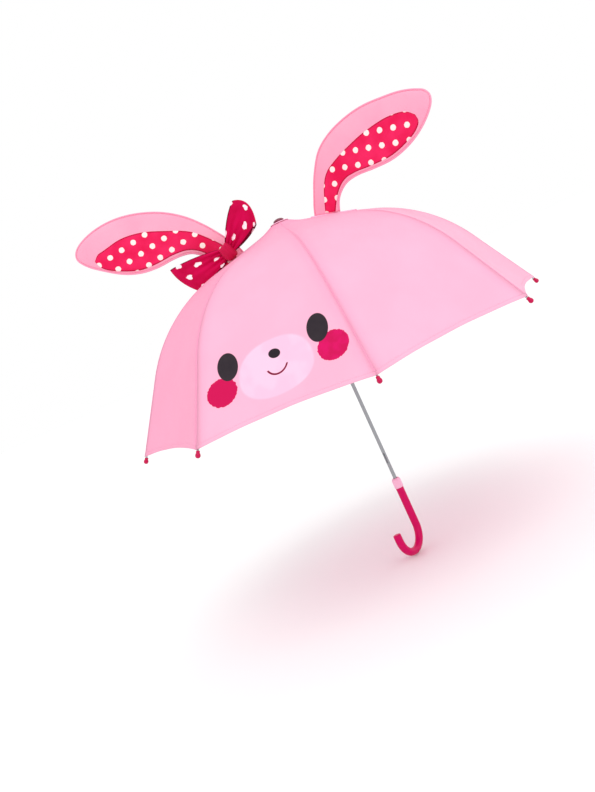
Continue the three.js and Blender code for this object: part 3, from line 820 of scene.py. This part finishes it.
def ear(side):
    sign = 1 if side == "right" else -1
    points, normal = plate_outline(f"{side}_ear")
    points[0] -= SEAM_DROP
    points[-1] -= SEAM_DROP
    middle = -normal * EAR_HALF_THICKNESS
    grid = leaf_grid(points, EAR_ROWS, EAR_COLUMNS)
    front, back, uvs = [], [], []
    for i, row in enumerate(grid):
        share = i / (EAR_ROWS - 1)
        rows = [[], [], []]
        width = (row[-1] - row[0]).length
        for j, point in enumerate(row):
            across = 2 * j / (EAR_COLUMNS - 1) - 1
            crown = math.sqrt(max(0.0, 1 - across ** 2)) * min(1.0, width / 0.04)
            ripple = 0.35 * MM * math.sin(40 * share + 3 * across) * crown
            half = 0.35 * MM + EAR_PUFF * crown + ripple
            base = point + middle
            rows[0].append(base + normal * half)
            rows[1].append(base - normal * half)
            rows[2].append((base.x * sign, base.z))
        for target, values in zip((front, back, uvs), rows):
            target.append(values)
    piece = shell(f"{side}_ear_cloth", front, back, EAR_CLOTH, {"cloth": uvs})
    return piece, points, normal, middle


def finish_ear(side):
    piece, points, normal, middle = ear(side)
    tree = BVHTree.FromObject(piece, bpy.context.evaluated_depsgraph_get())
    parts = [piece, lining(side, tree, normal), piping(side, points, normal, middle)]
    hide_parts(f"{side}_ear")
    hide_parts(f"{side}_ear_lining")
    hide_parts(f"{side}_ear_wire")
    for part, slot in zip(parts, ("ear_cloth", "lining_cloth", "ear_cloth")):
        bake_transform(part)
    lining_points, _ = plate_outline(f"{side}_ear_lining")


def lining(side, tree, normal):
    sign = 1 if side == "right" else -1
    points, _ = plate_outline(f"{side}_ear_lining")
    grid = leaf_grid(points, 60, 22)
    front, back, uvs, edges = [], [], [], []
    for i, row in enumerate(grid):
        rows = [[], [], [], []]
        to_end = (len(grid) - 1 - i) * 4 * MM
        for point in row:
            hit = tree.ray_cast(point + normal * 0.05, -normal)[0] or point
            to_edge = min((point - row[0]).length, (row[-1] - point).length, to_end)
            rows[0].append(hit + normal * (0.55 * MM if to_edge > 0.5 * MM else 0.3 * MM))
            rows[1].append(hit - normal * 0.05 * MM)
            rows[2].append((point.x * sign, point.z))
            rows[3].append((to_edge, 0))
        for target, values in zip((front, back, uvs, edges), rows):
            target.append(values)
    turn, start = (-16.7, (0.0, 0.54)) if side == "right" else (-9.3, (0.0, 0.94))
    material = dotted_cloth(f"{side}_lining_cloth", math.radians(turn), start)
    return shell(f"{side}_ear_dotted_lining", front, back, material, {"cloth": uvs, "edge": edges})


def piping(side, points, normal, middle):
    """Cloth-covered wire all round the ear, from one end of its seam to the other."""
    line = evenly(points, 150)
    centre = sum(points, Vector()) / len(points)
    shifted = [(point, tangent.cross(normal)) for point, tangent in zip(line, tangents_of(line))]
    outward = 1 if shifted[len(line) // 3][1].dot(shifted[len(line) // 3][0] - centre) > 0 else -1
    path = [point + middle + outward * out * 1.2 * MM for point, out in shifted]
    return tube(f"{side}_ear_piping", path, PIPING_RADIUS, PIPING_CLOTH, sides=14)


for side in ("right", "left"):
    finish_ear(side)


# ---- tapes that hold the ears' seams ----
def ear_tape(side):
    low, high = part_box(f"{side}_ear_tape")
    sign = 1 if side == "right" else -1
    steps = 24
    inner, outer = min(abs(low.x), abs(high.x)), max(abs(low.x), abs(high.x))
    half_width = (high.y - low.y) / 2
    upper, lower = [], []
    for i in range(steps + 1):
        out = inner + (outer - inner) * i / steps
        along = solve_along(out)
        rows = [[], []]
        for j in range(9):
            across = 2 * j / 8 - 1
            fold = 1.2 * MM * math.exp(-(across * 2.2) ** 2)
            for grid, lift in ((rows[0], 1.5 * MM + fold), (rows[1], 0.8 * MM)):
                thinner = 1 if abs(across) < 0.95 or grid is rows[1] else 0.75
                x, up, _ = rib_point(along, CLOTH_ABOVE_RIB + crown_lift(along) + lift * thinner)
                grid.append(Vector((sign * x * math.cos(STEP / 2), half_width * across, up)))
        upper.append(rows[0])
        lower.append(rows[1])
    piece = shell(f"{side}_ear_seam_tape", upper, lower, STRAP_CLOTH, {})
    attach(piece, f"{side}_panel")
    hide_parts(f"{side}_ear_tape")


def solve_along(out):
    """Length along the rib curve at which the cloth in a panel's middle is this far out."""
    low, high = 0.0, RIB_LENGTH
    for _ in range(40):
        middle = (low + high) / 2
        if rib_point(middle, CLOTH_ABOVE_RIB)[0] * math.cos(STEP / 2) < out:
            low = middle
        else:
            high = middle
    return (low + high) / 2


for side in ("right", "left"):
    ear_tape(side)


# ---- bow ----
BOW_CLOTH = heart_cloth("bow_cloth")
knot_low, knot_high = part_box("bow_knot")
KNOT = (knot_low + knot_high) / 2
KNOT_HALF = 14.5 * MM
RIBBON = 0.5 * MM


def bow_loop(name, node, length, end_width, angle, skew, rounding):
    """Ribbon that leaves the knot, turns back at its far end and returns, pleated where the knot holds it."""
    direction = Vector((math.cos(angle), 0, math.sin(angle)))
    side = Vector((-math.sin(angle), 0, math.cos(angle)))
    depth = Vector((0, 1, 0))
    around, columns = 90, 33
    half_depth = 8.4 * MM
    upper, lower, uvs, edges = [], [], [], []
    middles = []
    for i in range(around + 1):
        q = i / around
        row = []
        for j in range(columns):
            r = 2 * j / (columns - 1) - 1
            d = 0.5 - 0.5 * math.cos(2 * math.pi * q)
            far = d ** 0.9
            end = length * (1 + skew * r - rounding * r * r)
            width = end_width / 2 * (0.3 + 0.7 * (1 - (1 - far) ** 1.5))
            pleat = 2.3 * MM * (1 - far) ** 1.3 * math.cos(4.2 * math.pi * r + (0.8 if q < 0.5 else 2.0))
            phase = 0.0 if q < 0.5 else 1.3
            wave = 1.6 * MM * math.sin(3.1 * r + 4 * far + phase) * far * (1 - far * far)
            y = -half_depth * math.sin(2 * math.pi * q) * (0.35 + 0.65 * far)
            from_ends = math.sin(math.pi * min(1, 6 * min(q, 1 - q)) / 2)
            y += (pleat + wave) * (1 if q < 0.5 else -1) * from_ends
            out = 4 * MM + (end - 4 * MM) * d
            row.append(KNOT + direction * out + side * (r * width) + depth * y)
        middles.append(row)
    for i, row in enumerate(middles):
        rows = [[], [], [], []]
        for j, point in enumerate(row):
            ahead = middles[min(i + 1, around)][j] - middles[max(i - 1, 0)][j]
            across = row[min(j + 1, columns - 1)] - row[max(j - 1, 0)]
            normal = ahead.cross(across).normalized()
            rows[0].append(point + normal * RIBBON)
            rows[1].append(point - normal * RIBBON)
            r = 2 * j / (columns - 1) - 1
            rows[2].append((r * end_width / 2, 2.1 * length * i / around))
            rows[3].append(((1 - abs(r)) * end_width / 2, 0))
        for target, values in zip((upper, lower, uvs, edges), rows):
            target.append(values)
    piece = shell(name, upper, lower, BOW_CLOTH, {"cloth": uvs, "edge": edges})
    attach(piece, "left_panel")
    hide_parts(node)


def bow_knot():
    """Band drawn round the ribbons' waist, with creases that run round it."""
    angle = math.radians(20)
    axis = Vector((math.cos(angle), 0, math.sin(angle)))
    side = Vector((-math.sin(angle), 0, math.cos(angle)))
    depth = Vector((0, 1, 0))
    loops = []
    steps, count = 30, 48
    for i in range(steps + 1):
        t = 2 * i / steps - 1
        size = (1 - abs(t) ** 5) ** 0.5 if abs(t) < 1 else 0
        size = max(size, 0.05)
        crease = 1 + 0.035 * math.cos(9 * t + 0.6)
        loop = []
        for j in range(count):
            a = 2 * math.pi * j / count
            c, s = math.cos(a), math.sin(a)
            high = math.copysign(abs(c) ** 0.8, c) * KNOT_HALF * 0.98
            deep = math.copysign(abs(s) ** 0.8, s) * 10.6 * MM
            pinch = size * crease * (1 + 0.03 * math.sin(3 * a + 5 * t))
            loop.append(KNOT + axis * t * 11.5 * MM + side * high * pinch + depth * deep * pinch)
        loops.append(loop)
    piece = rings("bow_knot_band", loops, BOW_KNOT_CLOTH)
    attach(piece, "left_panel")
    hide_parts("bow_knot")


bow_loop("bow_upper_ribbon", "bow_upper_loop", 85 * MM, 51 * MM, math.radians(40), 0.1, 0.17)
bow_loop("bow_lower_ribbon", "bow_lower_loop", 100 * MM, 56 * MM, math.radians(187), -0.13, 0.06)
bow_knot()


# ---- shaft end, handle and the small turned pieces ----
HANDLE_RADIUS = 6.8 * MM
CROOK_RADIUS = 34 * MM
CROOK_TURN = math.radians(-106)
CROOK_TIP = 12 * MM


def handle():
    low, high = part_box("handle")
    bottom = low.z + CROOK_RADIUS + HANDLE_RADIUS
    out = Vector((math.cos(CROOK_TURN), math.sin(CROOK_TURN), 0))
    line = [Vector((0, 0, high.z + (bottom - high.z) * i / 30)) for i in range(31)]
    for i in range(1, 49):
        angle = math.pi * i / 48
        line.append(Vector((0, 0, bottom - CROOK_RADIUS * math.sin(angle)))
                    + out * CROOK_RADIUS * (1 - math.cos(angle)))
    line += [out * 2 * CROOK_RADIUS + Vector((0, 0, bottom + CROOK_TIP * i / 8)) for i in range(1, 9)]
    rims = 5
    rounding = [math.sin(math.pi / 2 * i / rims) for i in range(rims + 1)]
    top = [line[0] - Vector((0, 0, 0.5 * MM * i / rims)) for i in range(rims)]
    tip = [line[-1] - Vector((0, 0, 2.2 * MM * (1 - i / rims) ** 2)) for i in range(1, rims + 1)]
    path = top + [p for p in line[1:] if (p - line[-1]).length > 2.3 * MM] + tip
    sizes = [0.94 + 0.06 * rounding[i] for i in range(rims)] + [1.0] * (len(path) - 2 * rims)
    sizes += [math.sqrt(max(0.0, 1 - ((i / rims) ** 2) * 0.75)) for i in range(1, rims + 1)]
    count = len(path) - 1
    piece = tube("handle_grip", path, HANDLE_RADIUS, HANDLE_PLASTIC, sides=40,
                 scale=lambda share: sizes[round(share * count)])
    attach(piece, "root")
    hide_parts("handle")


def collar():
    low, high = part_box("handle_collar")
    bottom, top = low.z / MM, high.z / MM
    radius, bore = (high.x - low.x) / 2 / MM, 3.5
    outline = [
        (bore, bottom), (radius, bottom), (radius, top - 4), (radius - 1.2, top - 1.2),
        (radius - 2.4, top), (bore, top), (bore, bottom),
    ]
    profile = rounded(outline, 0.7)
    piece = lathe("collar_ring", profile, COLLAR_PLASTIC)
    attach(piece, "root")
    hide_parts("handle_collar")


def top_cap():
    low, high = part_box("top_cap")
    bottom, top = low.z / MM, high.z / MM
    outline = [(3.6, bottom), (9.4, bottom), (9.2, bottom + 1.8), (7.6, bottom + 3.4), (5, top - 0.8),
               (2.4, top - 0.2), (0, top)]
    profile = [(0, top - 4.1), (3.6, top - 4.1), *rounded(outline, 0.9)[:-1], (0, top)]
    piece = lathe("crown_cap", profile, CAP_PLASTIC)
    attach(piece, "root")
    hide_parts("top_cap")


def rib_tip(k):
    out, up, slope = rib_point(RIB_LENGTH, 0)
    axis_turn = rib_turn(k)
    place = Matrix.Translation(turned_to(axis_turn, (0, out, up)))
    pointed_along = Matrix.Rotation(math.pi / 2 + slope, 4, "Y")
    place @= Matrix.Rotation(axis_turn - math.pi / 2, 4, "Z") @ pointed_along
    outline = [
        (0, 4.6), (2.2, 4.6), (2.2, 0), (2.8, 0), (2.9, 1.6), (2.6, 2.8),
        (3.5, 4.4), (3.95, 6.3), (3.5, 8.6), (2.1, 10.1), (0, 10.6),
    ]
    piece = lathe(f"tip_drop_{k}", rounded(outline, 0.8), TIP_PLASTIC, place, 32)
    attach(piece, f"rib_{k}")
    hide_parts(f"rib_tip_{k}")


handle()
collar()
top_cap()
for k in range(1, PANELS + 1):
    rib_tip(k)


# ---- closing strap on the back rib's seam ----
STRAP_RIB = 5
STRAP_FROM = 265 * MM
STRAP_TO = 425 * MM


def strap():
    width = 18 * MM
    upper, lower, uvs = [], [], []
    steps, columns = 60, 11
    for i in range(steps + 1):
        share = i / steps
        rows = [[], [], []]
        for j in range(columns):
            across = 2 * j / (columns - 1) - 1
            end = 1 - 0.45 * across * across * float(smooth(0.94, 1, share)) * 0.2
            along = STRAP_FROM + (STRAP_TO - STRAP_FROM) * share * end
            edge = 0.25 * MM * (abs(across) > 0.75) + 0.35 * MM * math.sin(11 * share) * 0.4
            for grid, lift in ((rows[0], 2.1 * MM + edge), (rows[1], 1.2 * MM)):
                out, up, _ = rib_point(along, CLOTH_ABOVE_RIB + lift)
                grid.append(turned_to(rib_turn(STRAP_RIB), (width / 2 * across, out, up)))
            rows[2].append((width / 2 * across, along))
        for target, values in zip((upper, lower, uvs), rows):
            target.append(values)
    piece = shell("strap_band", upper, lower, STRAP_CLOTH, {"cloth": uvs})
    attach(piece, f"rib_{STRAP_RIB}")
    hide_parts("closing_strap")


def snap(name, node, along, height):
    out, up, slope = rib_point(along, CLOTH_ABOVE_RIB + 2.3 * MM)
    turn = rib_turn(STRAP_RIB)
    place = Matrix.Translation(turned_to(turn, (0, out, up)))
    place @= Matrix.Rotation(turn - math.pi / 2, 4, "Z") @ Matrix.Rotation(slope, 4, "Y")
    outline = [
        (0, 0), (4.6, 0), (4.6, height * 0.6), (3.4, height), (2.2, height * 0.75), (0, height * 0.75),
    ]
    piece = lathe(name, rounded(outline, 0.5), TIP_PLASTIC, place, 32)
    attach(piece, f"rib_{STRAP_RIB}")
    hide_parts(node)


strap()
snap("snap_stud", "strap_stud", STRAP_TO - 12 * MM, 2.6)
snap("snap_socket", "strap_socket", STRAP_FROM + 12 * MM, 2.0)


# ---- carried-over CAD nodes ----
def finish_node(name, material, smooth_sides=True):
    node = frame["nodes"][name]
    node.data.materials.clear()
    node.data.materials.append(material)
    if smooth_sides:
        node.data.shade_smooth()
        sharp_edges(node, 30)


finish_node("shaft_tube", SHAFT_STEEL)
for name in ("upper_catch", "lower_catch", "notch_wire"):
    finish_node(name, SPRING_STEEL)
for name in ("top_notch", "runner"):
    finish_node(name, NOTCH_PLASTIC)
for k in range(1, PANELS + 1):
    finish_node(f"rib_{k}", RIB_STEEL)
    finish_node(f"stretcher_{k}", SPRING_STEEL)


# ---- floor, world and lights ----
def floor():
    s = Shade("floor_paint", 0.9, Specular_IOR_Level=0.1)
    s.bump((s.noise(3.0, 2.0), 0.2 * MM))
    material = s.colour(s.mix(s.noise(0.6, 2.0), srgb("#FBFBFB"), srgb("#F8F8F8")))
    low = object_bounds()[0].z - 2 * MM
    size = 30
    corners = [(-size, -size, low), (size, -size, low), (size, size, low), (-size, size, low)]
    piece = add_mesh("floor", corners, [(0, 1, 2, 3)], material, False)
    piece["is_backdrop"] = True


def area_light(name, place, aim, size, power):
    data = bpy.data.lights.new(name, "AREA")
    data.shape = "DISK"
    data.size = size
    data.energy = power
    light = bpy.data.objects.new(name, data)
    light.location = place
    light.rotation_euler = (Vector(place) - Vector(aim)).to_track_quat("Z", "Y").to_euler()
    bpy.context.scene.collection.objects.link(light)


def studio():
    world = bpy.data.worlds.new("studio")
    bpy.context.scene.world = world
    world.use_nodes = True
    background = world.node_tree.nodes["Background"]
    background.inputs["Color"].default_value = (1, 1, 1, 1)
    background.inputs["Strength"].default_value = 1.0
    aim = (0, 0, 0.4)
    area_light("key", (1.6, -2.2, 1.9), aim, 1.2, 9)
    sun = bpy.data.lights.new("sky_sun", "SUN")
    sun.energy = 0.5
    sun.angle = math.radians(40)
    light = bpy.data.objects.new("sky_sun", sun)
    light.rotation_euler = Vector((0.35, -0.5, 1)).to_track_quat("Z", "Y").to_euler()
    bpy.context.scene.collection.objects.link(light)
    bpy.context.scene.view_settings.view_transform = "Standard"


floor()
studio()
